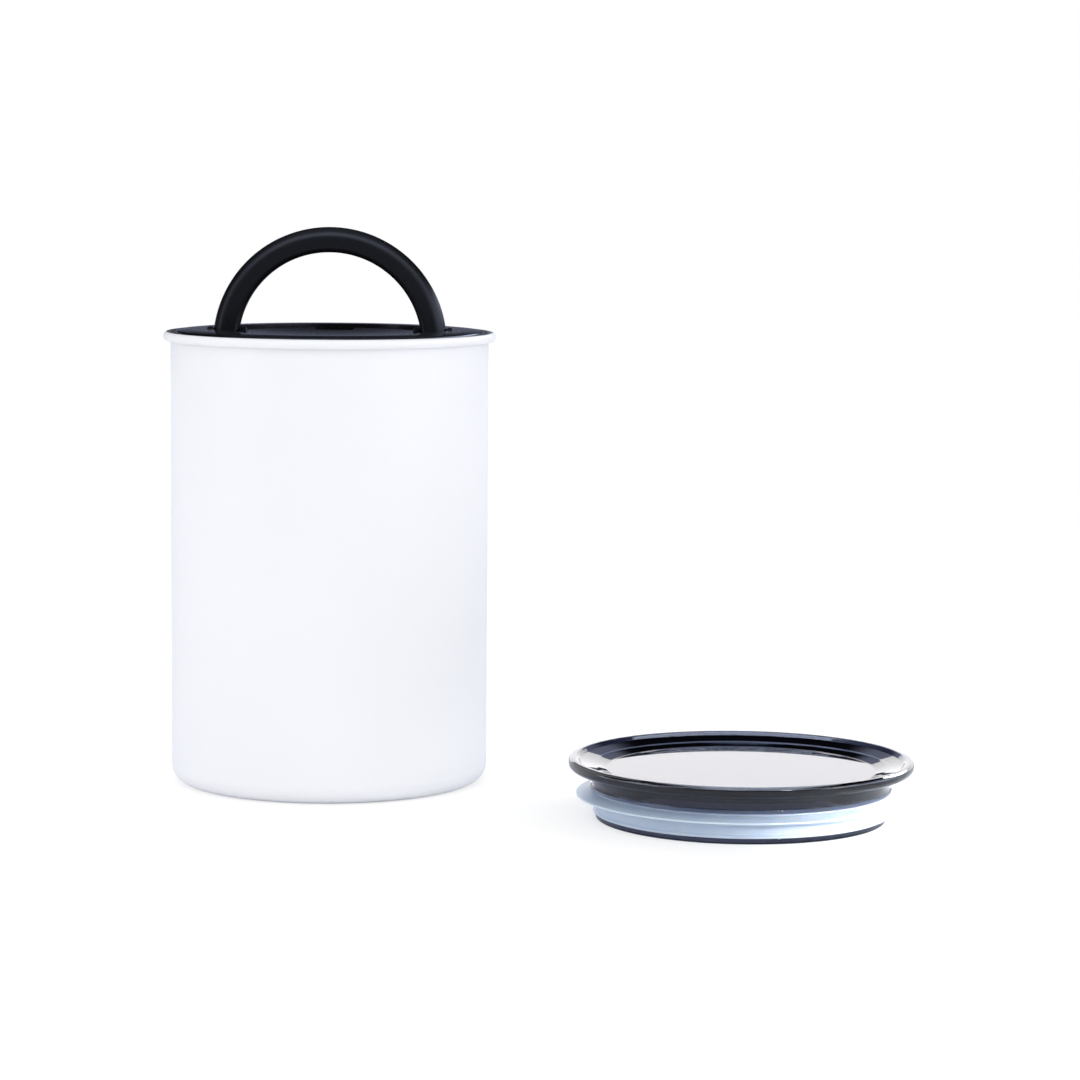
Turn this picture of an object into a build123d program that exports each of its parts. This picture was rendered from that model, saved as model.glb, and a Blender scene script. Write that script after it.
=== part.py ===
from build123d import *
import math
import os

# Steel coffee canister with a plunging inner lid, and its outer lid lying beside it.
# Millimetres. The origin is on the canister's axis at the table, +Z is up and -Y is the front.
# The inner lid stands at the top of the canister with its handle raised, so its valve is open.

# Canister: one drawn steel can with a rolled rim and a base that is domed in
canister_height = 178.0
bore_radius = 61.8
sheet = 0.6
rim_overhang = 2.9
rim_roll_height = 3.7
rim_roll_gap = 0.35
corner_radius = 7.0
foot_width = 4.0
foot_round = 1.2
base_rise = 2.2
base_slope = 5.0

# Inner lid cover: the black top of the plunger
lid_proud = 0.9
lid_gap = 1.2
lid_depth = 25.2
plate = 1.5
dish_depth = 2.4
land_width = 6.0
crown_drop = 0.4
crown_width = 8.0
edge_round = 1.0
skirt_wall = 2.0

# Handle: an arch on two pins, with a cam at each foot
handle_inset = 14.6
handle_bar = 9.9
handle_depth = 9.0
handle_outer_round = 4.3
handle_inner_round = 2.4
pivot_below_top = 6.0
cam_reach = 6.5
cam_lift = 2.0
cam_flat = 1.9

# Ears, pocket and channel that take the handle
ear_radius = 6.8
ear_thickness = 2.2
ear_round = 1.2
ear_gap_inside = 1.2
ear_gap_outside = 0.3
ear_foot_drop = 4.3
pocket_gap = 1.5
channel_gap_inside = 1.0
channel_gap_outside = 0.7
channel_gap_below = 0.6
channel_wall = 1.7
channel_lead = 2.5
notch_width = 15.4
notch_length = 9.0
notch_depth = 7.0

# Pivot pins
pin_radius = 1.5
pin_fit = 0.02
pin_running_fit = 0.05
pin_head_radius = 2.2
pin_head_thickness = 1.2
pin_end_gap = 0.3

# Inner lid base: the tray with the valve port
base_plate = 2.2
base_rim_height = 6.0
spigot_wall = 2.0
spigot_fit = 0.2
spigot_height = 4.5
seal_height = 3.0
port_radius = 8.0
port_hub_radius = 3.9
port_spokes = 3
spoke_width = 1.8
port_wall = 1.8
seat_radius = 9.5
seat_bead = 0.6
recess_radius = 14.0
recess_depth = 4.1
stiffener_inner = 22.0
stiffener_inset = 20.6
stiffener_depth = 1.2

# Wiper seal
wiper_reach = 0.9
wiper_thickness = 0.5
wiper_root = 0.6
wiper_sweep = 0.5
wiper_inset = 0.35

# Base screws
screw_count = 6
screw_inset = 8.0
screw_radius = 1.5
screw_length = 12.0
screw_head_radius = 2.8
screw_head_height = 1.9
screw_sink = 0.3
screw_hole_gap = 0.2
screw_fit = 0.02
screw_end_gap = 0.8
screw_slot = 0.7
screw_slot_depth = 0.8
boss_radius = 3.2
pad_radius = 4.0
pad_height = 2.0

# Valve: yoke, stem, stopper, spring and guard
yoke_gap = 0.15
yoke_thickness = 2.2
yoke_width = 7.0
yoke_hub_radius = 11.4
yoke_end_setback = 1.2
stem_radius = 2.5
stem_guide_gap = 0.1
stopper_radius = 11.0
stopper_thickness = 1.6
stopper_shut_gap = 0.1
stopper_edge_round = 0.5
stem_head_radius = 4.0
stem_head_thickness = 1.2
stem_head_chamfer = 0.5
guard_wall = 1.4
guard_fit = 0.1
guard_floor = 1.2
guard_clearance = 0.5
guard_slots = 12
guard_slot_width = 1.6
guard_slot_inner = 4.2
guard_slot_outer = 10.6
spring_wire = 0.8
spring_radius = 9.6
spring_turns = 2.5
spring_end_gap = 0.02

# Outer lid: clear plug lid with a dished top, on the table beside the canister
outer_lid_x = 159.5
outer_lid_y = -77.0
outer_lid_setback = 0.4
outer_lid_height = 22.6
outer_lid_wall = 2.0
brim_height = 4.2
brim_bead_width = 3.0
brim_bead_drop = 1.3
brim_round = 0.8
brim_low_round = 2.0
brim_edge_round = 1.45
dish_floor_inset = 14.3
dish_floor_drop = 4.1
plug_groove_inset = 11.7
plug_flange_reach = 1.4
plug_flange_height = 2.2
plug_collar_reach = 3.8
plug_collar_height = 1.4
plug_neck_reach = 2.8
plug_round = 0.4

# Outer lid seal: silicone ring with a wide flap and a small lower lip
seal_body = 1.9
seal_length = 9.3
flap_press = 0.2
flap_drop = 3.0
flap_root = 1.4
flap_tip = 0.7
lip_reach = 0.5
lip_thickness = 0.8
lip_round = 0.2

# One overrun for every cut
overrun = 1.0

# Levels and radii that follow from the sizes above
body_radius = bore_radius + sheet
rim_radius = body_radius + rim_overhang
lid_top = canister_height + lid_proud
lid_bottom = lid_top - lid_depth
lid_radius = bore_radius - lid_gap
skirt_inner = lid_radius - skirt_wall
crown_inner = lid_radius - crown_width
dish_radius = crown_inner - land_width
plate_bottom = lid_top - dish_depth - plate
margin_bottom = lid_top - crown_drop - plate
base_rim_top = lid_bottom + base_rim_height
skirt_bottom = base_rim_top + seal_height
base_floor = lid_bottom + base_plate
stiffener_outer = lid_radius - stiffener_inset
pivot_z = lid_top - pivot_below_top
handle_radius = lid_radius - handle_inset
handle_inner = handle_radius - handle_bar
half_depth = handle_depth / 2
pocket_half = cam_reach + pocket_gap
inner_ear_outside = handle_inner - ear_gap_inside
inner_ear_inside = inner_ear_outside - ear_thickness
outer_ear_inside = handle_radius + ear_gap_outside
outer_ear_outside = outer_ear_inside + ear_thickness
ear_bottom = pivot_z - ear_foot_drop
channel_inner = handle_inner - channel_gap_inside
channel_outer = handle_radius + channel_gap_outside
channel_floor = pivot_z - half_depth - channel_gap_below
yoke_top = pivot_z - cam_reach - yoke_gap
yoke_bottom = yoke_top - yoke_thickness
ceiling = lid_bottom + recess_depth
port_top = ceiling + port_wall
seat_bottom = ceiling - seat_bead
stopper_top = seat_bottom - stopper_shut_gap - cam_lift
stopper_bottom = stopper_top - stopper_thickness
stem_bottom = stopper_bottom - stem_head_thickness
guard_floor_top = stem_bottom - guard_clearance
guard_bottom = guard_floor_top - guard_floor
pad_top = base_floor + pad_height
screw_seat = lid_bottom + screw_head_height + screw_sink
screw_circle_radius = lid_radius - screw_inset
outer_lid_radius = rim_radius - outer_lid_setback
dish_floor_radius = outer_lid_radius - dish_floor_inset
plug_groove_radius = outer_lid_radius - plug_groove_inset
plug_flange_radius = plug_groove_radius + plug_flange_reach
plug_collar_radius = plug_groove_radius + plug_collar_reach
plug_neck_radius = plug_groove_radius + plug_neck_reach
flap_radius = bore_radius + flap_press


def outline(corners):
    """Face in the XY plane from (x, y, corner radius) rows."""
    points = [(x, y) for x, y, radius in corners]
    radii = [radius for x, y, radius in corners]
    return make_face(FilletPolyline(*points, radius=radii, close=True))


def turned(corners):
    """Solid of revolution about Z from (radius, height, corner radius) rows."""
    return revolve(Plane.XZ * outline(corners), Axis.Z)


def ring(outer, inner, bottom, top):
    """Plain ring about Z between two heights."""
    return turned([(inner, bottom, 0), (outer, bottom, 0), (outer, top, 0), (inner, top, 0)])


def disc(radius, bottom, top):
    """Plain disc about Z between two heights."""
    return Pos(0, 0, bottom) * Cylinder(radius, top - bottom, align=(Align.CENTER, Align.CENTER, Align.MIN))


def block(x_low, x_high, y_low, y_high, z_low, z_high):
    """Block between two corners."""
    size = (x_high - x_low, y_high - y_low, z_high - z_low)
    return Pos(x_low, y_low, z_low) * Box(*size, align=(Align.MIN, Align.MIN, Align.MIN))


def rod_x(radius, x_low, x_high):
    """Rod along X on the handle's pivot axis."""
    rod = Cylinder(radius, x_high - x_low, align=(Align.CENTER, Align.CENTER, Align.MIN))
    return Pos(x_low, 0, pivot_z) * Rot(0, 90, 0) * rod


def mirrored(solid):
    """The same solid on the other side of the handle."""
    return mirror(solid, Plane.YZ)


def make_canister_shell():
    # The outside of the can, then the sheet is laid inside it, the rim roll last
    foot_outer = body_radius - corner_radius
    foot_inner = foot_outer - foot_width
    dome_edge = foot_inner - base_slope
    roll_centre = bore_radius + (sheet + rim_overhang) / 2
    roll_radius = (sheet + rim_overhang) / 2
    roll_top = canister_height - roll_radius
    roll_flank = rim_roll_height - 2 * roll_radius
    roll_end = roll_top - roll_flank - roll_radius
    wall = FilletPolyline(
        (0, base_rise), (dome_edge, base_rise), (foot_inner, 0), (foot_outer, 0),
        radius=[foot_round, foot_round])
    corner = TangentArc((foot_outer, 0), (body_radius, corner_radius), tangent=(1, 0))
    side = Line((body_radius, corner_radius), (body_radius, roll_top))
    can_path = Wire(wall.edges() + corner.edges() + side.edges())
    can = make_face(offset(can_path, sheet, side=Side.LEFT, closed=True))
    # The roll is a hook: half a turn over the crest, a short flank and a quarter turn back under
    over = ThreePointArc(
        (bore_radius, roll_top), (roll_centre, canister_height), (bore_radius + 2 * roll_radius, roll_top))
    flank = Line(over @ 1, (bore_radius + 2 * roll_radius, roll_top - roll_flank))
    under = TangentArc(flank @ 1, (roll_centre, roll_end), tangent=(0, -1))
    hem = Line(under @ 1, (body_radius + rim_roll_gap, roll_end))
    roll_path = Wire(over.edges() + flank.edges() + under.edges() + hem.edges())
    roll = make_face(offset(roll_path, sheet, side=Side.RIGHT, closed=True))
    return revolve(Plane.XZ * (can + roll), Axis.Z)


def channel_solid(inner, outer, bottom, front):
    """Half ring behind the ears, from its front edge back, up through the cover's plate."""
    whole = ring(outer, inner, bottom, lid_top + overrun)
    behind = block(-outer - overrun, outer + overrun, front, outer + overrun, bottom, lid_top + overrun)
    return whole & behind


def notch_solid(grow):
    """Thumb scoop in front of the channel, larger all round by grow."""
    half = notch_width / 2 + grow
    back = channel_inner
    front = back - notch_length - grow
    floor = lid_top - notch_depth - grow
    side = Plane.YZ * make_face(
        Polyline((front, lid_top + overrun), (back, lid_top + overrun), (back, floor))
        + Line((back, floor), (back - notch_length / 4, floor))
        + TangentArc((back - notch_length / 4, floor), (front, lid_top), tangent=(-1, 0))
        + Line((front, lid_top), (front, lid_top + overrun)))
    return Pos(-half, 0, 0) * extrude(side, 2 * half)


def make_inner_lid_cover():
    dish_low = lid_top - dish_depth
    dish = TangentArc((0, dish_low), (dish_radius, lid_top), tangent=(1, 0))
    land = Line(dish @ 1, (crown_inner, lid_top))
    crown = TangentArc(land @ 1, (lid_radius - edge_round, lid_top - crown_drop), tangent=(1, 0))
    edge = ThreePointArc(
        crown @ 1,
        (lid_radius - edge_round * (1 - math.sqrt(0.5)), lid_top - crown_drop - edge_round * (1 - math.sqrt(0.5))),
        (lid_radius, lid_top - crown_drop - edge_round))
    top = dish + land + crown + edge
    skirt = FilletPolyline(
        edge @ 1, (lid_radius, skirt_bottom), (skirt_inner, skirt_bottom), (skirt_inner, margin_bottom),
        (dish_radius, lid_top - plate), radius=[0, 0, edge_round])
    under = TangentArc((0, plate_bottom), (dish_radius, lid_top - plate), tangent=(1, 0))
    cover = revolve(
        Plane.XZ * make_face(top + skirt + under + Line((0, plate_bottom), (0, dish_low))), Axis.Z)
    below = Polyline(edge @ 1, (lid_radius, lid_bottom), (0, lid_bottom), (0, dish_low))
    under_top = revolve(Plane.XZ * make_face(top + below), Axis.Z)

    # Trough of the channel and the scoop, then the hollows in them
    trough = channel_solid(
        channel_inner - channel_wall, channel_outer + channel_wall, channel_floor - channel_wall, pocket_half)
    scoop = notch_solid(channel_wall)
    cover = cover + (trough & under_top) + (scoop & under_top)
    for angle in range(screw_count):
        cover = cover + (screw_place(angle) * disc(boss_radius, pad_top, lid_top) & under_top)
    channel_front = pocket_half - channel_lead

    # Ears at each foot of the handle, with the pocket between them
    ear_side = Plane.YZ * (
        Pos(0, pivot_z) * Circle(ear_radius)
        - Pos(0, ear_bottom - ear_radius) * Rectangle(4 * ear_radius, 2 * ear_radius))
    ears = Pos(inner_ear_inside, 0, 0) * extrude(ear_side, outer_ear_outside - inner_ear_inside)
    ears = fillet(ears.edges().filter_by(GeomType.CIRCLE), ear_round)
    pocket = block(
        inner_ear_outside, outer_ear_inside, -pocket_half, pocket_half,
        skirt_bottom, lid_top + ear_radius)
    hole = rod_x(pin_radius + pin_fit, inner_ear_inside - overrun, outer_ear_outside + overrun)
    for side in (lambda solid: solid, mirrored):
        cover = cover + side(ears) - side(pocket) - side(hole)
    cover = cover - channel_solid(channel_inner, channel_outer, channel_floor, channel_front)
    cover = cover - notch_solid(0)
    for angle in range(screw_count):
        pilot = disc(screw_radius + screw_fit, pad_top - overrun, screw_seat + screw_length + screw_end_gap)
        cover = cover - screw_place(angle) * pilot
    return cover


def screw_place(index):
    """Where screw number index stands, from 0."""
    turn = (index + 0.5) * 360 / screw_count
    return Rot(0, 0, turn) * Pos(screw_circle_radius, 0, 0)


def make_handle():
    # The arch: a section with a broad outer edge turned half way round the pivot centre
    section = outline([
        (handle_inner, -half_depth, handle_inner_round), (handle_radius, -half_depth, handle_outer_round),
        (handle_radius, half_depth, handle_outer_round), (handle_inner, half_depth, handle_inner_round)])
    arch = revolve(section, Axis.Y, 180)
    arch = arch if arch.bounding_box().max.Z > handle_bar else mirror(arch, Plane.XY)
    # The foot: the same section carried down, cut to the cam's outline
    leg = extrude(section, -cam_reach)
    slope = -cam_lift / (math.pi / 2)

    def cam_point(turn):
        reach = cam_reach + slope * turn
        return (
            reach * math.sin(turn) + slope * math.cos(turn),
            -reach * math.cos(turn) + slope * math.sin(turn))

    quarter = math.pi / 2
    lower = ThreePointArc(cam_point(0), cam_point(quarter / 4), cam_point(quarter / 2))
    upper = ThreePointArc(cam_point(quarter / 2), cam_point(quarter * 3 / 4), cam_point(quarter))
    toe_y = slope - cam_flat
    cam = make_face(
        Line((toe_y, -cam_reach), cam_point(0)) + lower + upper
        + Polyline(cam_point(quarter), (half_depth, overrun), (-half_depth, overrun),
                   (-half_depth, -cam_reach + half_depth + toe_y))
        + Line((-half_depth, -cam_reach + half_depth + toe_y), (toe_y, -cam_reach)))
    cam_solid = Pos(handle_inner, 0, 0) * extrude(Plane.YZ * cam, handle_bar)
    foot = leg & cam_solid
    hole = Pos(handle_inner - overrun, 0, 0) * Rot(0, 90, 0) * Cylinder(
        pin_radius + pin_running_fit, handle_bar + 2 * overrun,
        align=(Align.CENTER, Align.CENTER, Align.MIN))
    handle = arch + foot + mirrored(foot) - hole - mirrored(hole)
    return Pos(0, 0, pivot_z) * handle


def make_pivot_pin():
    shank = rod_x(pin_radius, inner_ear_inside, outer_ear_outside - pin_end_gap)
    head = rod_x(pin_head_radius, inner_ear_inside - pin_head_thickness, inner_ear_inside)
    return shank + head


def make_inner_lid_base():
    spigot_outer = skirt_inner - spigot_fit
    spigot_inner = spigot_outer - spigot_wall
    dome = recess_radius + port_wall
    base = turned([
        (0, ceiling, 0), (recess_radius, ceiling, 0), (recess_radius, lid_bottom, 0),
        (stiffener_inner, lid_bottom, 0), (stiffener_inner + stiffener_depth, lid_bottom + stiffener_depth, 0),
        (stiffener_outer - stiffener_depth, lid_bottom + stiffener_depth, 0), (stiffener_outer, lid_bottom, 0),
        (lid_radius, lid_bottom, edge_round), (lid_radius, base_rim_top, 0), (spigot_outer, base_rim_top, 0),
        (spigot_outer, base_rim_top + spigot_height, 0), (spigot_inner, base_rim_top + spigot_height, 0),
        (spigot_inner, base_floor, edge_round), (stiffener_outer + base_plate, base_floor, 0),
        (stiffener_outer, base_floor + stiffener_depth, 0), (stiffener_inner, base_floor + stiffener_depth, 0),
        (stiffener_inner - base_plate, base_floor, 0), (dome, base_floor, 0), (dome, port_top, 0),
        (0, port_top, 0)])
    base = base + ring(seat_radius + seat_bead, seat_radius - seat_bead, seat_bottom, ceiling)
    base = base - disc(port_radius, ceiling - overrun, port_top + overrun)
    # Three spokes carry the stem guide across the port
    spokes = disc(port_hub_radius, ceiling, port_top)
    for index in range(port_spokes):
        spoke = block(0, port_radius + spoke_width / 2, -spoke_width / 2, spoke_width / 2, ceiling, port_top)
        spokes = spokes + Rot(0, 0, index * 360 / port_spokes) * spoke
    base = base + spokes - disc(stem_radius + stem_guide_gap, ceiling - overrun, port_top + overrun)
    for index in range(screw_count):
        place = screw_place(index)
        base = base + place * disc(pad_radius, base_floor - base_plate / 2, pad_top)
        base = base - place * disc(screw_head_radius + screw_hole_gap, lid_bottom - overrun, screw_seat)
        base = base - place * disc(screw_radius + screw_hole_gap, lid_bottom, pad_top + overrun)
    return base


def make_wiper_seal():
    inner = skirt_inner - spigot_fit
    lip_tip = lid_radius + wiper_reach
    low = base_rim_top + wiper_inset
    high = skirt_bottom - wiper_inset - wiper_root - wiper_sweep
    return turned([
        (inner, base_rim_top, 0), (lid_radius, base_rim_top, 0), (lid_radius, low, 0),
        (lip_tip, low + wiper_sweep, 0), (lip_tip, low + wiper_sweep + wiper_thickness / 2, 0),
        (lid_radius, low + wiper_root, 0), (lid_radius, high, 0),
        (lip_tip, high + wiper_sweep, 0), (lip_tip, high + wiper_sweep + wiper_thickness / 2, 0),
        (lid_radius, high + wiper_root, 0), (lid_radius, skirt_bottom, 0), (inner, skirt_bottom, 0)])


def make_base_screw(index):
    head_bottom = screw_seat - screw_head_height
    head = disc(screw_head_radius, head_bottom, screw_seat)
    shank = disc(screw_radius, screw_seat, screw_seat + screw_length)
    screw = head + shank
    for turn in (0, 90):
        slot = block(
            -screw_radius, screw_radius, -screw_slot / 2, screw_slot / 2,
            head_bottom - overrun, head_bottom + screw_slot_depth)
        screw = screw - Rot(0, 0, turn) * slot
    return screw_place(index) * screw


def make_valve_yoke():
    half_length = handle_radius - yoke_end_setback
    bar = block(-half_length, half_length, -yoke_width / 2, yoke_width / 2, yoke_bottom, yoke_top)
    ends = disc(half_length, yoke_bottom, yoke_top)
    hub = disc(yoke_hub_radius, yoke_bottom, yoke_top)
    stem = turned([
        (0, stem_bottom, 0), (stem_head_radius, stem_bottom, stem_head_chamfer),
        (stem_head_radius, stopper_bottom, 0), (stem_radius, stopper_bottom, 0),
        (stem_radius, yoke_bottom, 0), (0, yoke_bottom, 0)])
    return (bar & ends) + hub + stem


def make_valve_stopper():
    return turned([
        (stem_radius, stopper_bottom, 0), (stopper_radius, stopper_bottom, stopper_edge_round),
        (stopper_radius, stopper_top, stopper_edge_round), (stem_radius, stopper_top, 0)])


def make_valve_guard():
    outer = recess_radius - guard_fit
    inner = outer - guard_wall
    guard = turned([
        (0, guard_bottom, 0), (outer, guard_bottom, guard_wall / 2), (outer, ceiling, 0),
        (inner, ceiling, 0), (inner, guard_floor_top, 0), (0, guard_floor_top, 0)])
    for index in range(guard_slots):
        slot = block(
            guard_slot_inner, guard_slot_outer, -guard_slot_width / 2, guard_slot_width / 2,
            guard_bottom - overrun, guard_floor_top + overrun)
        guard = guard - Rot(0, 0, index * 360 / guard_slots) * slot
    return guard


def spring_point(turns, low, pitch):
    """Point and direction on the spring's centre line after so many turns."""
    angle = 2 * math.pi * turns
    point = Vector(spring_radius * math.cos(angle), spring_radius * math.sin(angle), low + pitch * turns)
    along = Vector(
        -2 * math.pi * spring_radius * math.sin(angle), 2 * math.pi * spring_radius * math.cos(angle), pitch)
    return point, along.normalized()


def biarc(start, start_along, end, end_along):
    """Two arcs that leave one point and reach the next in the given directions."""
    chord = end - start
    both = start_along + end_along
    a = 2 * (start_along.dot(end_along) - 1)
    b = -2 * chord.dot(both)
    c = chord.dot(chord)
    reach = (-b - math.sqrt(b * b - 4 * a * c)) / (2 * a)
    join = (start + end + (start_along - end_along) * reach) * 0.5
    first = TangentArc(start, join, tangent=start_along)
    return [first, TangentArc(join, end, tangent=first % 1)]


def make_valve_spring():
    low = port_top + spring_wire / 2 + spring_end_gap
    high = yoke_bottom - spring_wire / 2 - spring_end_gap
    pitch = (high - low) / spring_turns
    arcs = []
    stations = [index / 4 for index in range(int(spring_turns * 4) + 1)]
    for first, last in zip(stations, stations[1:]):
        arcs += biarc(*spring_point(first, low, pitch), *spring_point(last, low, pitch))
    path = Wire([edge for arc in arcs for edge in arc.edges()])
    start, along = spring_point(0, low, pitch)
    profile = Plane(origin=start, z_dir=along) * Circle(spring_wire / 2)
    points = [spring_point(step / 24, low, pitch)[0] for step in range(int(spring_turns * 24) + 1)]
    gap = min(
        (points[i] - points[j]).length
        for i in range(len(points)) for j in range(len(points)) if j - i > 16)
    print("spring: least gap to itself %.2f mm" % (gap - spring_wire))
    return sweep(profile, path=path)


def at_outer_lid(solid):
    """Carries a piece of the outer lid to where it lies on the table."""
    return Pos(outer_lid_x, outer_lid_y, 0) * solid


def make_outer_lid():
    top = outer_lid_height
    brim_low = top - brim_height
    floor_top = top - dish_floor_drop
    inside = plug_groove_radius - outer_lid_wall
    groove_top = plug_flange_height + seal_length
    bead_inner = outer_lid_radius - brim_bead_width
    body = turned([
        (0, floor_top - outer_lid_wall, 0), (inside, floor_top - outer_lid_wall, outer_lid_wall),
        (inside, 0, plug_round), (plug_flange_radius, 0, plug_round),
        (plug_flange_radius, plug_flange_height, plug_round), (plug_groove_radius, plug_flange_height, 0),
        (plug_groove_radius, groove_top, 0), (plug_collar_radius, groove_top, plug_round),
        (plug_collar_radius, groove_top + plug_collar_height, plug_round),
        (plug_neck_radius, groove_top + plug_collar_height, 0), (plug_neck_radius, brim_low, brim_round),
        (outer_lid_radius, brim_low, brim_low_round), (outer_lid_radius, top, brim_edge_round),
        (bead_inner, top, brim_edge_round), (bead_inner - brim_bead_drop, top - brim_bead_drop, brim_round),
        (dish_floor_radius + dish_floor_drop, floor_top + brim_bead_drop, brim_bead_width),
        (dish_floor_radius, floor_top, brim_bead_width), (0, floor_top, 0)])
    return at_outer_lid(body)


def make_outer_lid_seal():
    low = plug_flange_height
    high = low + seal_length
    inner = plug_groove_radius
    outer = inner + seal_body
    tip = high - flap_drop
    seal = turned([
        (inner, low, 0), (outer + lip_reach, low, lip_round),
        (outer + lip_reach, low + lip_thickness, lip_round), (outer, low + lip_thickness + lip_reach, lip_reach),
        (outer, high - flap_root - lip_thickness, lip_thickness),
        (flap_radius, tip, flap_tip / 3), (flap_radius, tip + flap_tip, flap_tip / 3),
        (outer, high - flap_tip / 2, flap_tip / 3), (outer, high, 0), (inner, high, 0)])
    return at_outer_lid(seal)


def build():
    parts = {
        "canister_shell": make_canister_shell(),
        "inner_lid_cover": make_inner_lid_cover(),
        "inner_lid_base": make_inner_lid_base(),
        "wiper_seal": make_wiper_seal(),
        "handle": make_handle(),
        "pivot_pin_right": make_pivot_pin(),
        "pivot_pin_left": mirrored(make_pivot_pin()),
        "valve_yoke": make_valve_yoke(),
        "valve_stopper": make_valve_stopper(),
        "valve_spring": make_valve_spring(),
        "valve_guard": make_valve_guard(),
        "outer_lid": make_outer_lid(),
        "outer_lid_seal": make_outer_lid_seal(),
    }
    for index in range(screw_count):
        parts["base_screw_%d" % (index + 1)] = make_base_screw(index)
    return parts


os.makedirs("parts", exist_ok=True)
for node, solid in build().items():
    export_step(solid, os.path.join("parts", node + ".step"))
    print(node, "%.0f mm3" % solid.volume)
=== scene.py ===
import math

import bpy
from mathutils import Matrix, Vector


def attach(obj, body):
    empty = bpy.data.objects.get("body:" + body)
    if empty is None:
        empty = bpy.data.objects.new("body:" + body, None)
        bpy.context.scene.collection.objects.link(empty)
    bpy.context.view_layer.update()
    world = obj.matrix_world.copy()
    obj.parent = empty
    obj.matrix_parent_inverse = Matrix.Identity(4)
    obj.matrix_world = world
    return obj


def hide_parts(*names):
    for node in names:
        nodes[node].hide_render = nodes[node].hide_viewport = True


# Coffee canister with its inner lid in place and the clear outer lid lying beside it
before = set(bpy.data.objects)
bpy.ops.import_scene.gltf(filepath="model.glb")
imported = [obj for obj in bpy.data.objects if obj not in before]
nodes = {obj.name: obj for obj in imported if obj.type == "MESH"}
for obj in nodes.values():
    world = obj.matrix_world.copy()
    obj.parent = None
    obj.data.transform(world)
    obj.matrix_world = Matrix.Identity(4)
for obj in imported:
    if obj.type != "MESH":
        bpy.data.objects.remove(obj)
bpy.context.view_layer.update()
mm = 0.001
touching = 1e-6  # metres: points nearer than this are one point
facet = dict(degrees=9, least=2, smooth=30, turn=192)  # how finely corners and turned pieces are divided
print("frame loaded with", len(nodes), "solids")


def deselectAll():
    if bpy.context.object and bpy.context.object.mode == "EDIT":
        bpy.ops.object.mode_set(mode="OBJECT")
    bpy.ops.object.select_all(action="DESELECT")


def pick(piece):
    deselectAll()
    piece.select_set(True)
    bpy.context.view_layer.objects.active = piece


def pickPoints(piece, wanted):
    bpy.ops.object.mode_set(mode="EDIT")
    bpy.ops.mesh.select_mode(type="VERT")
    bpy.ops.mesh.select_all(action="DESELECT")
    bpy.ops.object.mode_set(mode="OBJECT")  # a selection is set from code outside edit mode
    for vert in piece.data.vertices:
        vert.select = wanted(vert)
    bpy.ops.object.mode_set(mode="EDIT")


def finishMesh(piece):
    bpy.ops.object.mode_set(mode="EDIT")
    bpy.ops.mesh.select_all(action="SELECT")
    bpy.ops.mesh.remove_doubles(threshold=touching)
    bpy.ops.mesh.normals_make_consistent(inside=False)
    bpy.ops.object.mode_set(mode="OBJECT")
    pick(piece)
    bpy.ops.object.shade_smooth_by_angle(angle=math.radians(facet["smooth"]))
    even = piece.modifiers.new("even", "WEIGHTED_NORMAL")  # broad faces stay flat beside small roundings
    even.weight = 100
    even.keep_sharp = True
    bpy.ops.object.modifier_apply(modifier=even.name)


def drawLine(name, rows, closed):
    # rows of radius, height and corner rounding in millimetres:
    # one point is pulled along them, then the corners are bevelled
    deselectAll()
    bpy.ops.mesh.primitive_plane_add(size=mm)
    piece = bpy.context.object
    piece.name = name
    bpy.ops.object.mode_set(mode="EDIT")
    bpy.ops.mesh.merge(type="CENTER")
    bpy.ops.transform.translate(value=(rows[0][0] * mm, 0, rows[0][1] * mm))
    for here, there in zip(rows, rows[1:]):
        step = ((there[0] - here[0]) * mm, 0, (there[1] - here[1]) * mm)
        bpy.ops.mesh.extrude_region_move(TRANSFORM_OT_translate={"value": step})
    bpy.ops.object.mode_set(mode="OBJECT")
    if closed:
        pickPoints(piece, lambda vert: vert.index in (0, len(rows) - 1))
        bpy.ops.mesh.edge_face_add()
        bpy.ops.object.mode_set(mode="OBJECT")
    corners = [Vector((across, 0, up)) for across, up, rounding in rows]
    for index, corner in enumerate(corners):
        rounding = rows[index][2]
        if not rounding:
            continue
        back = corners[index - 1] - corner
        onward = corners[(index + 1) % len(corners)] - corner
        bend = math.pi - back.angle(onward)
        pickPoints(piece, lambda vert: (vert.co - corner * mm).length < touching)
        bpy.ops.mesh.bevel(
            offset=rounding * mm * math.tan(bend / 2),
            segments=max(facet["least"], round(math.degrees(bend) / facet["degrees"])),
            affect="VERTICES", clamp_overlap=False)
        bpy.ops.object.mode_set(mode="OBJECT")
    return piece


def turnPiece(name, rows, closed=True):
    piece = drawLine(name, rows, closed)
    bpy.ops.object.mode_set(mode="EDIT")
    bpy.ops.mesh.select_all(action="SELECT")
    bpy.ops.mesh.spin(steps=facet["turn"], angle=2 * math.pi, center=(0, 0, 0), axis=(0, 0, 1))
    finishMesh(piece)
    return piece


def movePiece(piece, x, y):
    pick(piece)
    bpy.ops.object.mode_set(mode="EDIT")
    bpy.ops.mesh.select_all(action="SELECT")
    bpy.ops.transform.translate(value=(x * mm, y * mm, 0))
    bpy.ops.object.mode_set(mode="OBJECT")


def cutWith(piece, cutter):
    pick(piece)
    cut = piece.modifiers.new("cut", "BOOLEAN")
    cut.object = cutter
    cut.operation = "DIFFERENCE"
    cut.solver = "EXACT"
    bpy.ops.object.modifier_apply(modifier=cut.name)
    bpy.data.objects.remove(cutter)


def srgb(code):
    channels = [int(code[i:i + 2], 16) / 255 for i in (0, 2, 4)]
    return tuple(c / 12.92 if c <= 0.04045 else ((c + 0.055) / 1.055) ** 2.4 for c in channels) + (1,)


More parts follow.
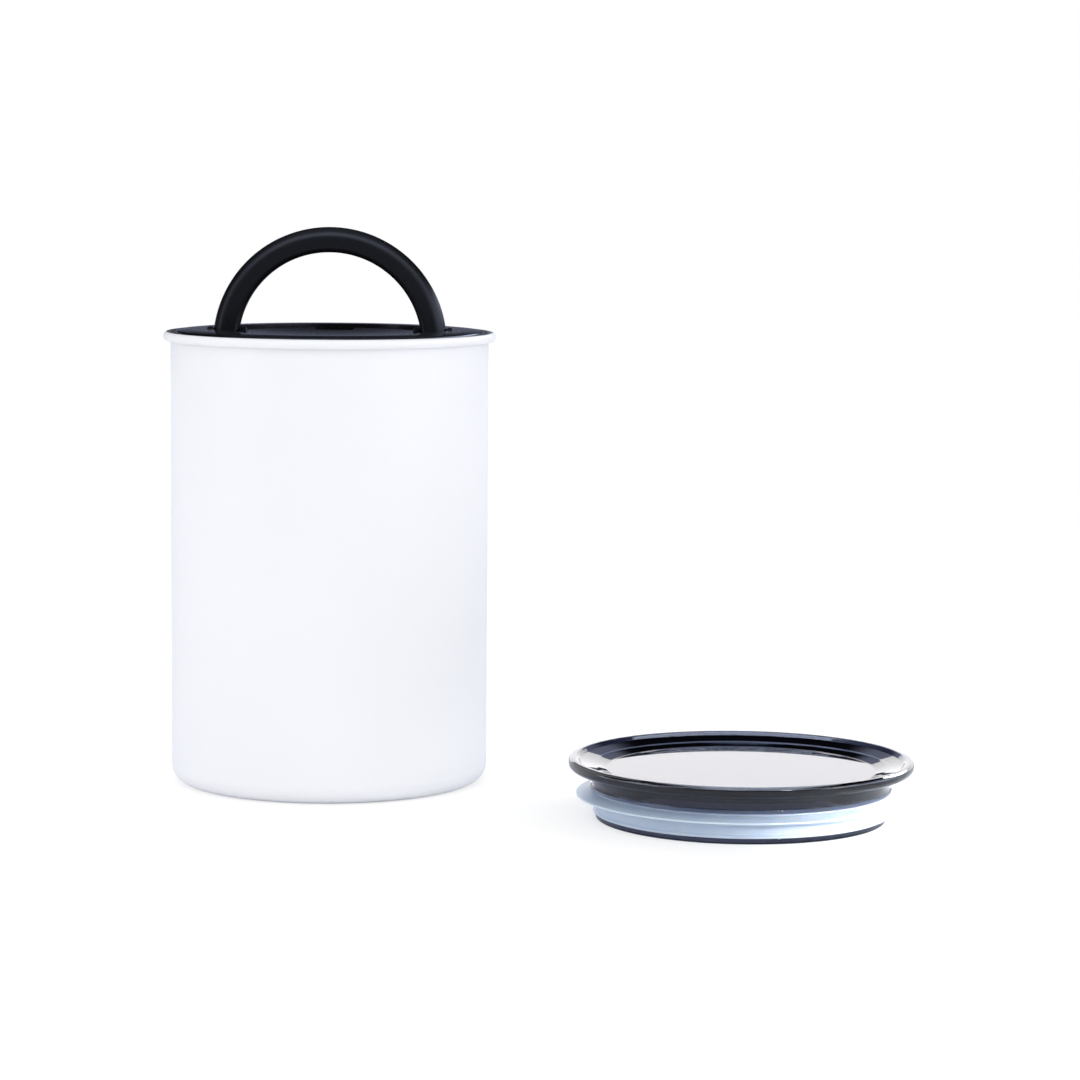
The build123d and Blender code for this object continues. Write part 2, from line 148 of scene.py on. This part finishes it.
def addNode(tree, kind, settings=None, values=None, links=None):
    node = tree.nodes.new(kind)
    for key, value in (settings or {}).items():
        setattr(node, key, value)
    for key, value in (values or {}).items():
        node.inputs[key].default_value = value
    for key, socket in (links or {}).items():
        tree.links.new(socket, node.inputs[key])
    return node


def newMaterial(name, **values):
    material = bpy.data.materials.new(name)
    material.use_nodes = True
    tree = material.node_tree
    shader = tree.nodes["Principled BSDF"]
    for key, value in values.items():
        shader.inputs[key.replace("_", " ")].default_value = value
    place = addNode(tree, "ShaderNodeTexCoord").outputs["Object"]
    return material, tree, shader, place


def newGlow(name):
    # for the stage: nothing but an output, which gets a plain glow
    material = bpy.data.materials.new(name)
    material.use_nodes = True
    tree = material.node_tree
    tree.nodes.remove(tree.nodes["Principled BSDF"])
    return material, tree, tree.nodes["Material Output"].inputs["Surface"]


def showToGloss(piece):
    piece.visible_camera = False
    piece.visible_diffuse = False
    piece.visible_transmission = False
    piece.visible_shadow = False


# Polyester powder coat, baked: even white with a faint orange peel, so highlights stay soft
coat = dict(
    colour="f1f2f6", worn="eeeff4", roughness=0.42, gloss=0.25, peel=1.1, peelHeight=0.012, peelStrength=0.25,
    cloud=70)
powderCoat, tree, shader, place = newMaterial(
    "powderCoat", Roughness=coat["roughness"], Specular_IOR_Level=coat["gloss"])
cloud = addNode(
    tree, "ShaderNodeTexNoise", values={"Scale": 1 / (coat["cloud"] * mm), "Detail": 2.0},
    links={"Vector": place})
tint = addNode(
    tree, "ShaderNodeMixRGB", values={"Color1": srgb(coat["colour"]), "Color2": srgb(coat["worn"])},
    links={"Fac": cloud.outputs["Fac"]})
tree.links.new(tint.outputs["Color"], shader.inputs["Base Color"])
peel = addNode(
    tree, "ShaderNodeTexNoise", values={"Scale": 1 / (coat["peel"] * mm), "Detail": 1.0},
    links={"Vector": place})
bump = addNode(
    tree, "ShaderNodeBump", values={"Strength": coat["peelStrength"], "Distance": coat["peelHeight"] * mm},
    links={"Height": peel.outputs["Fac"]})
tree.links.new(bump.outputs["Normal"], shader.inputs["Normal"])

# Stainless 304 sheet, drawn and polished round the can: fine rings that streak the reflections
rings = dict(colour="d2d3d5", smoothest=0.3, roughest=0.46, spacing=0.45, squeeze=(0.02, 0.02, 1.0))
drawnSteel, tree, shader, place = newMaterial("drawnSteel", Base_Color=srgb(rings["colour"]), Metallic=1.0)
squeeze = addNode(tree, "ShaderNodeMapping", values={"Scale": rings["squeeze"]}, links={"Vector": place})
streaks = addNode(
    tree, "ShaderNodeTexNoise", values={"Scale": 1 / (rings["spacing"] * mm), "Detail": 3.0},
    links={"Vector": squeeze.outputs["Vector"]})
rough = addNode(
    tree, "ShaderNodeMapRange", values={"To Min": rings["smoothest"], "To Max": rings["roughest"]},
    links={"Value": streaks.outputs["Fac"]})
tree.links.new(rough.outputs["Result"], shader.inputs["Roughness"])

# Bright steel of pins, screws and spring: plain, with a trace of machining
turned = dict(colour="b9babd", smoothest=0.22, roughest=0.4, grain=0.6)
brightSteel, tree, shader, place = newMaterial("brightSteel", Base_Color=srgb(turned["colour"]), Metallic=1.0)
grain = addNode(
    tree, "ShaderNodeTexNoise", values={"Scale": 1 / (turned["grain"] * mm), "Detail": 2.0},
    links={"Vector": place})
rough = addNode(
    tree, "ShaderNodeMapRange", values={"To Min": turned["smoothest"], "To Max": turned["roughest"]},
    links={"Value": grain.outputs["Fac"]})
tree.links.new(rough.outputs["Result"], shader.inputs["Roughness"])


def mouldedBlack(name, look):
    material, tree, shader, place = newMaterial(name, Specular_IOR_Level=look["gloss"])
    cells = addNode(
        tree, "ShaderNodeTexNoise", values={"Scale": 1 / (look["grain"] * mm), "Detail": 2.0},
        links={"Vector": place})
    tint = addNode(
        tree, "ShaderNodeMixRGB", values={"Color1": srgb(look["colour"]), "Color2": srgb(look["lift"])},
        links={"Fac": cells.outputs["Fac"]})
    rough = addNode(
        tree, "ShaderNodeMapRange", values={"To Min": look["smoothest"], "To Max": look["roughest"]},
        links={"Value": cells.outputs["Fac"]})
    bump = addNode(
        tree, "ShaderNodeBump", values={"Strength": look["strength"], "Distance": look["depth"] * mm},
        links={"Height": cells.outputs["Fac"]})
    tree.links.new(tint.outputs["Color"], shader.inputs["Base Color"])
    tree.links.new(rough.outputs["Result"], shader.inputs["Roughness"])
    tree.links.new(bump.outputs["Normal"], shader.inputs["Normal"])
    return material


# ABS from an eroded mould: fine even grain, drawn a little coarser than real so that it shows
lidBlack = mouldedBlack("lidBlack", dict(
    colour="08080b", lift="0e0e12", smoothest=0.15, roughest=0.28, grain=0.5, depth=0.006, strength=0.5,
    gloss=0.5))
# The handle is the same plastic with a satin skin, nearly black
handleBlack = mouldedBlack("handleBlack", dict(
    colour="060609", lift="0c0d12", smoothest=0.35, roughest=0.48, grain=0.7, depth=0.02, strength=0.5,
    gloss=0.22))
# Silicone of wiper and stopper: matte, slightly grey
sealBlack = mouldedBlack("sealBlack", dict(
    colour="131315", lift="1a1a1d", smoothest=0.57, roughest=0.7, grain=0.8, depth=0.01, strength=0.5,
    gloss=0.5))

# Styrene acrylonitrile, smoke tinted in the mass and polished:
# grey through the thin dish, navy black along the plug
smoke = dict(ior=1.56, clear="fbfbfd", streak="f1f3f7", absorb="24487f", density=800.0, flow=25, haze=0.02)
smokeClear, tree, shader, place = newMaterial("smokeClear", Transmission_Weight=1.0, IOR=smoke["ior"])
haze = addNode(
    tree, "ShaderNodeTexNoise", values={"Scale": 1 / (smoke["flow"] * mm), "Detail": 2.0},
    links={"Vector": place})
rough = addNode(
    tree, "ShaderNodeMapRange", values={"To Min": 0.0, "To Max": smoke["haze"]},
    links={"Value": haze.outputs["Fac"]})
tree.links.new(rough.outputs["Result"], shader.inputs["Roughness"])
tint = addNode(
    tree, "ShaderNodeMixRGB", values={"Color1": srgb(smoke["clear"]), "Color2": srgb(smoke["streak"])},
    links={"Fac": haze.outputs["Fac"]})
tree.links.new(tint.outputs["Color"], shader.inputs["Base Color"])
depth = addNode(
    tree, "ShaderNodeVolumeAbsorption", values={"Color": srgb(smoke["absorb"]), "Density": smoke["density"]})
tree.links.new(depth.outputs["Volume"], tree.nodes["Material Output"].inputs["Volume"])

# Liquid silicone rubber, unpigmented over the smoky lid: milky blue, light passes a little way in
milk = dict(
    colour="ccd9ea", deep="b8c8dd", roughness=0.34, ior=1.41, depth=3.5, share=0.6, spread=(0.7, 0.85, 1.0),
    veil=9)
milkSilicone, tree, shader, place = newMaterial(
    "milkSilicone", Roughness=milk["roughness"], IOR=milk["ior"], Subsurface_Weight=milk["share"],
    Subsurface_Scale=milk["depth"] * mm, Subsurface_Radius=milk["spread"])
veil = addNode(
    tree, "ShaderNodeTexNoise", values={"Scale": 1 / (milk["veil"] * mm), "Detail": 2.0},
    links={"Vector": place})
tint = addNode(
    tree, "ShaderNodeMixRGB", values={"Color1": srgb(milk["colour"]), "Color2": srgb(milk["deep"])},
    links={"Fac": veil.outputs["Fac"]})
tree.links.new(tint.outputs["Color"], shader.inputs["Base Color"])
print("materials made")

# Canister: one drawn can with a foot ring and a rolled rim

can = dict(
    bore=61.8, sheet=0.6, height=178.0, corner=7.0, footInner=51.4, domeEdge=46.4, rise=2.2, footRound=1.2,
    baseShift=0.1, rimRadius=65.3, rimRound=1.75, rimDrop=3.7, hemGap=0.35, coatEdge=64.2, coatStop=0.3,
    faceUp=0.3)
outside = can["bore"] + can["sheet"]
hem = outside + can["hemGap"]
rimIn = can["rimRadius"] - can["sheet"]
rimTop, rimLow = can["height"], can["height"] - can["rimDrop"]
inRound = can["rimRound"] - can["sheet"]
topRound = can["rimRound"] - 0.01  # a hair less, so that the two roundings of the crest don't meet
baseTop = can["rise"] + can["sheet"]
canisterBody = turnPiece("canister_body", [
    (0, can["rise"], 0), (can["domeEdge"], can["rise"], can["footRound"]),
    (can["footInner"], 0, can["footRound"]), (outside, 0, can["corner"]),
    (outside, rimTop - can["sheet"], inRound), (rimIn, rimTop - can["sheet"], inRound),
    (rimIn, rimLow + can["sheet"], inRound), (hem, rimLow + can["sheet"], 0), (hem, rimLow, 0),
    (can["rimRadius"], rimLow, can["rimRound"]), (can["rimRadius"], rimTop, topRound),
    (can["bore"], rimTop, topRound), (can["bore"], can["sheet"], can["corner"] - can["sheet"]),
    (can["footInner"] + can["baseShift"], can["sheet"], can["footRound"]),
    (can["domeEdge"] + can["baseShift"], baseTop, can["footRound"]), (0, baseTop, 0),
], closed=False)
canisterBody.data.materials.append(powderCoat)
canisterBody.data.materials.append(drawnSteel)
for face in canisterBody.data.polygons:  # the coat ends on the rim's crest, and the inside is bare steel
    reach = math.hypot(face.center.x, face.center.y) / mm
    level = face.center.z / mm
    inwards = face.normal.x * face.center.x + face.normal.y * face.center.y < 0
    onCrest = level > rimTop - can["rimRound"] and reach < can["coatEdge"]
    withinCan = reach < outside - can["coatStop"] and level > can["coatStop"]
    if (inwards or face.normal.z > can["faceUp"]) and (onCrest or withinCan):
        face.material_index = 1
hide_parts("canister_shell")
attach(canisterBody, "canister")
print("canister body", len(canisterBody.data.polygons), "faces")

# Handle: a broad rounded strip bent to half a circle, its cam feet below the pivots

grip = dict(
    middle=41.05, wide=9.9, deep=9.0, outerRound=4.3, outerFacets=12, innerRound=2.4, innerFacets=7,
    bendSteps=96, pivot=172.9, reach=6.5, spare=1.0, lift=2.0, camStep=5, hole=1.55, holeSides=48)
pivot = Vector((0, 0, grip["pivot"] * mm))
legLength = (grip["reach"] + grip["spare"]) * mm
deselectAll()
bpy.ops.mesh.primitive_plane_add(size=1)
handleArch = bpy.context.object
handleArch.name = "handle_arch"
bpy.ops.object.mode_set(mode="EDIT")
bpy.ops.transform.resize(value=(grip["wide"] * mm, grip["deep"] * mm, 1))
bpy.ops.transform.translate(value=(grip["middle"] * mm, 0, pivot.z - legLength))
bpy.ops.object.mode_set(mode="OBJECT")
for rounding, segments, outer in (
        (grip["outerRound"], grip["outerFacets"], True), (grip["innerRound"], grip["innerFacets"], False)):
    # the outer two corners of the section are rounder than the inner two
    sharp = [
        vert.index for vert in handleArch.data.vertices
        if abs(abs(vert.co.y) - grip["deep"] / 2 * mm) < touching]
    pickPoints(handleArch, lambda vert: vert.index in sharp and (vert.co.x > grip["middle"] * mm) == outer)
    bpy.ops.mesh.bevel(offset=rounding * mm, segments=segments, affect="VERTICES")
    bpy.ops.object.mode_set(mode="OBJECT")
bpy.ops.object.mode_set(mode="EDIT")
bpy.ops.mesh.select_all(action="SELECT")
bpy.ops.mesh.extrude_region_move(TRANSFORM_OT_translate={"value": (0, 0, legLength)})
bpy.ops.mesh.spin(steps=grip["bendSteps"], angle=math.pi, center=pivot, axis=(0, 1, 0))
bpy.ops.mesh.extrude_region_move(TRANSFORM_OT_translate={"value": (0, 0, -legLength)})
finishMesh(handleArch)
for side in (-1, 1):
    deselectAll()
    bpy.ops.mesh.primitive_cylinder_add(
        vertices=grip["holeSides"], radius=grip["hole"] * mm, depth=2 * grip["wide"] * mm,
        rotation=(0, math.pi / 2, 0), location=(side * grip["middle"] * mm, 0, pivot.z))
    cutWith(handleArch, bpy.context.object)
# the cams come after the holes: the other way round, the cut isn't the same in each run
pick(handleArch)
bpy.ops.object.mode_set(mode="EDIT")
camSlope = grip["lift"] / (math.pi / 2)
for degrees in range(0, 90, grip["camStep"]):  # the cam is the curve that these flats touch
    tilt = math.radians(degrees)
    away = Vector((0, math.sin(tilt), -math.cos(tilt)))
    reach = (grip["reach"] - camSlope * tilt) * mm
    bpy.ops.mesh.select_all(action="SELECT")
    bpy.ops.mesh.bisect(plane_co=pivot + away * reach, plane_no=away, clear_outer=True)
bpy.ops.mesh.select_mode(type="EDGE")
bpy.ops.mesh.select_all(action="DESELECT")
bpy.ops.mesh.select_non_manifold()  # the open ends of both feet
bpy.ops.mesh.fill()
bpy.ops.mesh.select_mode(type="VERT")
finishMesh(handleArch)
handleArch.data.materials.append(handleBlack)
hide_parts("handle")
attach(handleArch, "handle")
print("handle", len(handleArch.data.polygons), "faces")

# Outer lid: a clear plug lid with a dished top

lid = dict(
    x=159.5, y=-77.0, radius=64.9, height=22.6, wall=2.0, brim=4.2, bead=3.0, beadDrop=1.3, brimRound=0.8,
    lowRound=2.0, edgeRound=1.45, floorRadius=50.6, floorDrop=4.1, flange=54.6, flangeHeight=2.2, groove=53.2,
    plugRound=0.4, collar=57.0, collarHeight=1.4, collarRound=0.3, skin=0.8, roof=0.3, neck=56.0,
    sealLength=9.3)
top = lid["height"]
floorTop = top - lid["floorDrop"]
hollow = lid["groove"] - lid["wall"]
collarLow = lid["flangeHeight"] + lid["sealLength"]
collarTop = collarLow + lid["collarHeight"]
skinIn = lid["collar"] - lid["skin"]
grooveTop = collarTop - lid["roof"]
beadIn = lid["radius"] - lid["bead"]
clearLid = turnPiece("clear_lid", [
    (0, floorTop - lid["wall"], 0), (hollow, floorTop - lid["wall"], lid["wall"]),
    (hollow, 0, lid["plugRound"]), (lid["flange"], 0, lid["plugRound"]),
    (lid["flange"], lid["flangeHeight"], lid["plugRound"]), (lid["groove"], lid["flangeHeight"], 0),
    (lid["groove"], grooveTop, 0), (skinIn, grooveTop, 0), (skinIn, collarLow, 0),
    (lid["collar"], collarLow, lid["collarRound"]), (lid["collar"], collarTop, lid["plugRound"]),
    (lid["neck"], collarTop, 0), (lid["neck"], top - lid["brim"], lid["brimRound"]),
    (lid["radius"], top - lid["brim"], lid["lowRound"]), (lid["radius"], top, lid["edgeRound"]),
    (beadIn, top, lid["edgeRound"]), (beadIn - lid["beadDrop"], top - lid["beadDrop"], lid["brimRound"]),
    (lid["floorRadius"] + lid["floorDrop"], floorTop + lid["beadDrop"], lid["bead"]),
    (lid["floorRadius"], floorTop, lid["bead"]), (0, floorTop, 0),
], closed=False)
movePiece(clearLid, lid["x"], lid["y"])
clearLid.data.materials.append(smokeClear)
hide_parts("outer_lid")
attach(clearLid, "outer_lid")
print("clear lid", len(clearLid.data.polygons), "faces")

# Silicone seal in the lid's groove: a wide flap above, a small lip below

seal = dict(
    inner=53.25, body=1.85, low=2.25, high=12.55, edge=0.2, ring=56.15, ringLow=11.35, ringStep=0.45,
    flap=62.0, flapDrop=2.85, flapEdge=0.25, root=1.3, rootRound=0.8, tip=0.7, lip=0.5, lipThick=0.8)
sealOut = seal["inner"] + seal["body"]
lipOut, lipTop = sealOut + seal["lip"], seal["low"] + seal["lipThick"]
flapLow = seal["ringLow"] - seal["flapDrop"]
lidSeal = turnPiece("lid_seal", [
    (seal["inner"], seal["low"], 0), (lipOut, seal["low"], seal["edge"]), (lipOut, lipTop, seal["edge"]),
    (sealOut, lipTop + seal["lip"], seal["lip"]),
    (sealOut, seal["ringLow"] - seal["root"] - seal["rootRound"], seal["rootRound"]),
    (seal["flap"], flapLow, seal["flapEdge"]), (seal["flap"], flapLow + seal["tip"], seal["flapEdge"]),
    (seal["ring"], seal["ringLow"] - seal["ringStep"], seal["edge"]),
    (seal["ring"], seal["high"], seal["edge"]), (seal["inner"], seal["high"], 0),
])
movePiece(lidSeal, lid["x"], lid["y"])
lidSeal.data.materials.append(milkSilicone)
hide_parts("outer_lid_seal")
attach(lidSeal, "outer_lid")
print("lid seal", len(lidSeal.data.polygons), "faces")

# The other solids keep their CAD shape and get their finish

finishes = {
    "inner_lid_cover": lidBlack, "inner_lid_base": lidBlack, "valve_yoke": lidBlack, "valve_guard": lidBlack,
    "wiper_seal": sealBlack, "valve_stopper": sealBlack, "pivot_pin_left": brightSteel,
    "pivot_pin_right": brightSteel, "valve_spring": brightSteel}
for name, node in nodes.items():
    if name.startswith("base_screw"):
        finishes[name] = brightSteel
    if name in finishes:
        for holder in node.material_slots:
            holder.material = finishes[name]
print("solids finished")

# Floor, light and camera

paperLook = dict(
    size=6.0, colour="fafafa", cameraShare=0.6, throughShare=0.15, glow=1.1, seen="ffffff", mirrored="b4bede")
deselectAll()
bpy.ops.mesh.primitive_plane_add(size=paperLook["size"])
floor = bpy.context.object
floor.name = "floor"
paper, tree, surface = newGlow("paper")
ray = addNode(tree, "ShaderNodeLightPath")
mirrored = addNode(
    tree, "ShaderNodeMath", {"operation": "MAXIMUM"},
    links={0: ray.outputs["Is Camera Ray"], 1: ray.outputs["Is Glossy Ray"]})
bright = addNode(
    tree, "ShaderNodeMath", {"operation": "MULTIPLY"}, {1: paperLook["cameraShare"]},
    {0: mirrored.outputs[0]})
# through the lid the floor shows with its shade, so little of the glow is added there
through = addNode(
    tree, "ShaderNodeMath", {"operation": "MULTIPLY"}, {1: paperLook["throughShare"]},
    {0: ray.outputs["Is Transmission Ray"]})
share = addNode(
    tree, "ShaderNodeMath", {"operation": "MAXIMUM"}, links={0: bright.outputs[0], 1: through.outputs[0]})
matt = addNode(tree, "ShaderNodeBsdfDiffuse", values={"Color": srgb(paperLook["colour"])})
sheet = addNode(  # gloss sees the paper a little blue, as the dark brim shows it in the photo
    tree, "ShaderNodeMixRGB",
    values={"Color1": srgb(paperLook["seen"]), "Color2": srgb(paperLook["mirrored"])},
    links={"Fac": ray.outputs["Is Glossy Ray"]})
glow = addNode(
    tree, "ShaderNodeEmission", values={"Strength": paperLook["glow"]},
    links={"Color": sheet.outputs["Color"]})
mixed = addNode(
    tree, "ShaderNodeMixShader", links={"Fac": share.outputs[0], 1: matt.outputs[0], 2: glow.outputs[0]})
tree.links.new(mixed.outputs[0], surface)
floor.data.materials.append(paper)

# Plain white for the camera and the light. Gloss and glass see a lit wall at the back and a strip on each
# side, a box over the camera, a pale ceiling straight overhead, and little light between them.
# Each pair gives where a light fades, as the x, y or z of the direction.
studio = dict(
    tone="c8d2ea", wallTone="f3f2f5", toneFade=(0.6, 0.9), white="ffffff", light=0.91, front=0.065,
    wallLight=2.25, back=(0.1, 0.5), stripLight=4.5, side=(0.7, 0.85), top=(0.3, 0.7),
    boxLight=6.0, boxFront=(0.3, 0.5), boxLow=(0.42, 0.5), boxHigh=(0.8, 0.88),
    ceiling=0.7, ceilingDark=0.02, ceilingReach=(0.8, 0.95))
world = bpy.data.worlds.new("studio")
bpy.context.scene.world = world
world.use_nodes = True
tree = world.node_tree
tree.nodes.clear()
ray = addNode(tree, "ShaderNodeLightPath")
aim = addNode(tree, "ShaderNodeTexCoord").outputs["Generated"]
along = addNode(tree, "ShaderNodeSeparateXYZ", links={0: aim})
sideways = addNode(tree, "ShaderNodeMath", {"operation": "ABSOLUTE"}, links={0: along.outputs["X"]})
towards = addNode(tree, "ShaderNodeMath", {"operation": "MULTIPLY"}, {1: -1}, {0: along.outputs["Y"]})
shares = {"glossy": ray.outputs["Is Glossy Ray"], "through": ray.outputs["Is Transmission Ray"]}
for name, source, reach, low, high in [
        ("strip", sideways.outputs[0], studio["side"], 0, studio["stripLight"]),
        ("wall", along.outputs["Y"], studio["back"], studio["front"], studio["wallLight"]),
        ("toBack", along.outputs["Y"], studio["toneFade"], 0, 1),
        ("underCeiling", along.outputs["Z"], studio["top"], 1, 0),
        ("ceiling", along.outputs["Z"], studio["ceilingReach"], studio["ceilingDark"], studio["ceiling"]),
        ("box", towards.outputs[0], studio["boxFront"], 0, studio["boxLight"]),
        ("aboveBoxLow", along.outputs["Z"], studio["boxLow"], 0, 1),
        ("belowBoxHigh", along.outputs["Z"], studio["boxHigh"], 1, 0)]:
    shares[name] = addNode(
        tree, "ShaderNodeMapRange", {"interpolation_type": "SMOOTHSTEP"},
        {"From Min": reach[0], "From Max": reach[1], "To Min": low, "To Max": high},
        {"Value": source}).outputs["Result"]
for name, operation, first, second in [
        ("walls", "MAXIMUM", "strip", "wall"), ("walls", "MULTIPLY", "walls", "underCeiling"),
        ("box", "MULTIPLY", "box", "aboveBoxLow"), ("box", "MULTIPLY", "box", "belowBoxHigh"),
        ("room", "MAXIMUM", "walls", "box"), ("room", "MAXIMUM", "room", "ceiling"),
        ("mirrored", "MAXIMUM", "glossy", "through")]:
    shares[name] = addNode(
        tree, "ShaderNodeMath", {"operation": operation},
        links={0: shares[first], 1: shares[second]}).outputs[0]
soft = addNode(
    tree, "ShaderNodeBackground", values={"Color": srgb(studio["white"]), "Strength": studio["light"]})
tones = addNode(
    tree, "ShaderNodeMixRGB", values={"Color1": srgb(studio["tone"]), "Color2": srgb(studio["wallTone"])},
    links={"Fac": shares["toBack"]})
room = addNode(
    tree, "ShaderNodeBackground", links={"Color": tones.outputs["Color"], "Strength": shares["room"]})
white = addNode(tree, "ShaderNodeBackground", values={"Color": srgb(studio["white"]), "Strength": 1.0})
lit = addNode(
    tree, "ShaderNodeMixShader", links={"Fac": shares["mirrored"], 1: soft.outputs[0], 2: room.outputs[0]})
mixed = addNode(
    tree, "ShaderNodeMixShader",
    links={"Fac": ray.outputs["Is Camera Ray"], 1: lit.outputs[0], 2: white.outputs[0]})
addNode(tree, "ShaderNodeOutputWorld", links={"Surface": mixed.outputs[0]})

# A curved dark flag round the back and sides, seen by gloss alone, keeps the white walls out of the black
# lid. It glows along its foot, and less in its upper part. Its size is in millimetres, its fades in metres.
flag = dict(
    radius=400, low=150, high=800, start=200, turn=220, steps=48, tone="b8c0e0", glow=0.75, dark=0.02,
    fade=(0.19, 0.24), upper=0.35, rise=(0.52, 0.8))
darkFlag = drawLine(
    "dark_flag", [(flag["radius"], flag["low"], 0), (flag["radius"], flag["high"], 0)], closed=False)
bpy.ops.object.mode_set(mode="EDIT")
bpy.ops.mesh.select_all(action="SELECT")
bpy.ops.mesh.spin(steps=flag["steps"], angle=math.radians(flag["turn"]), center=(0, 0, 0), axis=(0, 0, 1))
bpy.ops.object.mode_set(mode="OBJECT")
darkFlag.rotation_euler.z = math.radians(flag["start"])
velvet, tree, surface = newGlow("velvet")
spot = addNode(tree, "ShaderNodeNewGeometry")
height = addNode(tree, "ShaderNodeSeparateXYZ", links={0: spot.outputs["Position"]})
fading, rising = [
    addNode(
        tree, "ShaderNodeMapRange", {"interpolation_type": "SMOOTHSTEP"},
        {"From Min": reach[0], "From Max": reach[1], "To Min": low, "To Max": high},
        {"Value": height.outputs["Z"]})
    for reach, low, high in [(flag["fade"], flag["glow"], flag["dark"]), (flag["rise"], 0, flag["upper"])]]
both = addNode(
    tree, "ShaderNodeMath", {"operation": "ADD"},
    links={0: fading.outputs["Result"], 1: rising.outputs["Result"]})
dim = addNode(
    tree, "ShaderNodeEmission", values={"Color": srgb(flag["tone"])}, links={"Strength": both.outputs[0]})
tree.links.new(dim.outputs[0], surface)
darkFlag.data.materials.append(velvet)
showToGloss(darkFlag)

# A soft card over the outer lid, seen by gloss alone, draws the light streaks along its brim
card = dict(middle=(0.175, -0.085, 0.21), wide=0.19, deep=0.33, glow=6.0)
deselectAll()
bpy.ops.mesh.primitive_plane_add(size=1, location=card["middle"])
lidCard = bpy.context.object
lidCard.name = "lid_card"
lidCard.scale = (card["wide"], card["deep"], 1)
silk, tree, surface = newGlow("silk")
bright = addNode(
    tree, "ShaderNodeEmission", values={"Color": srgb(studio["tone"]), "Strength": card["glow"]})
tree.links.new(bright.outputs[0], surface)
lidCard.data.materials.append(silk)
showToGloss(lidCard)

# The kicker lights the outer lid's seal from the front, and the rim lamp its flap from behind
lamps = {
    "overhead_softbox": dict(
        place=(-0.05, -1.2, 1.5), target=(0.05, 0, 0.1), size=0.5, power=2.1, spread=180),
    "left_softbox": dict(place=(-1.1, -0.5, 0.4), target=(0, 0, 0.09), size=0.5, power=1.3, spread=180),
    "right_softbox": dict(place=(1.1, -0.5, 0.4), target=(0, 0, 0.09), size=0.5, power=1.6, spread=180),
    "lid_kicker": dict(place=(0.34, -0.42, 0.14), target=(0.23, -0.1, 0.01), size=0.06, power=0.1, spread=24),
    "flap_rim": dict(place=(0.34, 0.06, 0.12), target=(0.21, -0.09, 0.01), size=0.08, power=0.2, spread=60)}
for name, values in lamps.items():
    light = bpy.data.lights.new(name, "AREA")
    light.size = values["size"]
    light.energy = values["power"]
    light.spread = math.radians(values["spread"])
    lamp = bpy.data.objects.new(name, light)
    bpy.context.scene.collection.objects.link(lamp)
    aim = (Vector(values["target"]) - Vector(values["place"])).to_track_quat("-Z", "Y")
    lamp.matrix_world = Matrix.Translation(values["place"]) @ aim.to_matrix().to_4x4()

# The camera is the one fitted to the photo's ellipses: it looks down and rolls by these angles, in radians
view = dict(place=(0.0832, -1.3984, 0.2479), down=0.10815, roll=0.0075, lens=118.47, sensor=36)
cameraData = bpy.data.cameras.new("photo_camera")
cameraData.lens = view["lens"]
cameraData.sensor_width = view["sensor"]
camera = bpy.data.objects.new("photo_camera", cameraData)
bpy.context.scene.collection.objects.link(camera)
camera.matrix_world = (
    Matrix.Translation(view["place"]) @ Matrix.Rotation(math.pi / 2 - view["down"], 4, "X")
    @ Matrix.Rotation(view["roll"], 4, "Z"))
bpy.context.scene.camera = camera
bpy.context.scene.view_settings.view_transform = "Standard"
print("stage and camera made")
